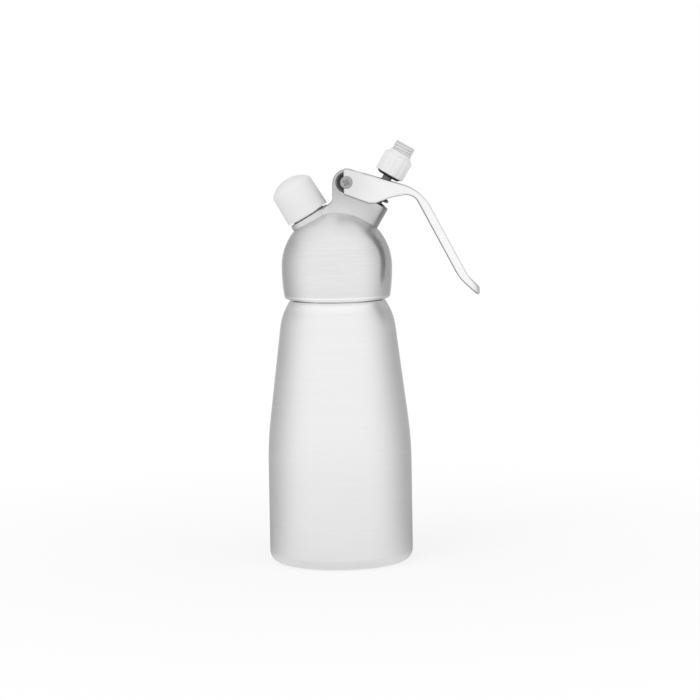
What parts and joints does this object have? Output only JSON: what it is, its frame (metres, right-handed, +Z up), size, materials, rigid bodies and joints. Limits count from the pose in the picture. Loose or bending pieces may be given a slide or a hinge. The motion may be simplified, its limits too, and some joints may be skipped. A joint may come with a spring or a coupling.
{
  "type": "cream whipper",
  "caption": "Cream whipper with a brushed bottle, a screwed-on domed head, a capped charger inlet and a squeeze lever that opens a sprung valve under a fluted nozzle adapter.",
  "frame": {"origin": "centre of the base, in the plane that the bottle stands on", "axes": "+Z up along the bottle's axis, +X towards the lever's handle, +Y across the lever, away from the pictured side"},
  "size_m": [0.1087, 0.073, 0.214],
  "materials": {
    "bottle_aluminium": "brushed round the axis",
    "head_aluminium": "brushed dome with a satin cast saddle",
    "lever_aluminium": "bright satin",
    "screw_steel": "plain",
    "inner_steel": "turned",
    "stem_steel": "turned",
    "spring_steel": "drawn wire",
    "white_plastic": "moulded",
    "bush_plastic": "moulded",
    "seal_rubber": "smooth"
  },
  "bodies": {
    "bottle": {"bottle": "bottle_aluminium"},
    "gasket": {"head_gasket": "seal_rubber"},
    "head": {"head": "head_aluminium", "inlet_stub": "inner_steel", "pin_carrier": "inner_steel", "piercing_pin": "inner_steel", "inlet_seal": "seal_rubber", "check_valve_sleeve": "seal_rubber", "pivot_screw": "screw_steel", "pivot_sleeve": "screw_steel", "pivot_bushes": "bush_plastic", "guide_bush": "bush_plastic", "stem_o_ring": "seal_rubber", "spring_seat": "inner_steel", "valve_spring": "spring_steel"},
    "lever": {"lever": "lever_aluminium"},
    "stem": {"valve_stem": "stem_steel", "valve_poppet": "stem_steel", "poppet_seal": "seal_rubber", "spring_washer": "inner_steel", "nozzle_adapter": "white_plastic", "adapter_seal": "seal_rubber"},
    "cap": {"inlet_cap": "white_plastic"}
  },
  "joints": [
    {"name": "head_rise", "type": "slide", "parent": "bottle", "child": "gasket", "axis": [0, 0, 1], "range_m": [0, 0.009]},
    {"name": "head_turn", "type": "hinge", "parent": "gasket", "child": "head", "pos_m": [0, 0, 0.1463], "axis": [0, 0, 1], "range_deg": [0, 1080]},
    {"name": "lever_squeeze", "type": "hinge", "parent": "head", "child": "lever", "pos_m": [0.0054, 0, 0.19308], "axis": [0, 1, 0], "range_deg": [0, 10], "stiffness_Nm_per_rad": 1.5, "springref_deg": -11.46},
    {"name": "stem_slide", "type": "slide", "parent": "head", "child": "stem", "axis": [-0.5075, 0, -0.8616], "range_m": [0, 0.0031], "deforming": ["valve_spring"]},
    {"name": "cap_pull", "type": "slide", "parent": "head", "child": "cap", "axis": [-0.515, 0, 0.8572], "range_m": [0, 0.03]}
  ],
  "couplings": [
    {"joint": "head_rise", "follows": "head_turn", "m_per_rad": 0.00047746},
    {"joint": "stem_slide", "follows": "lever_squeeze", "m_per_rad": 0.01748}
  ]
}
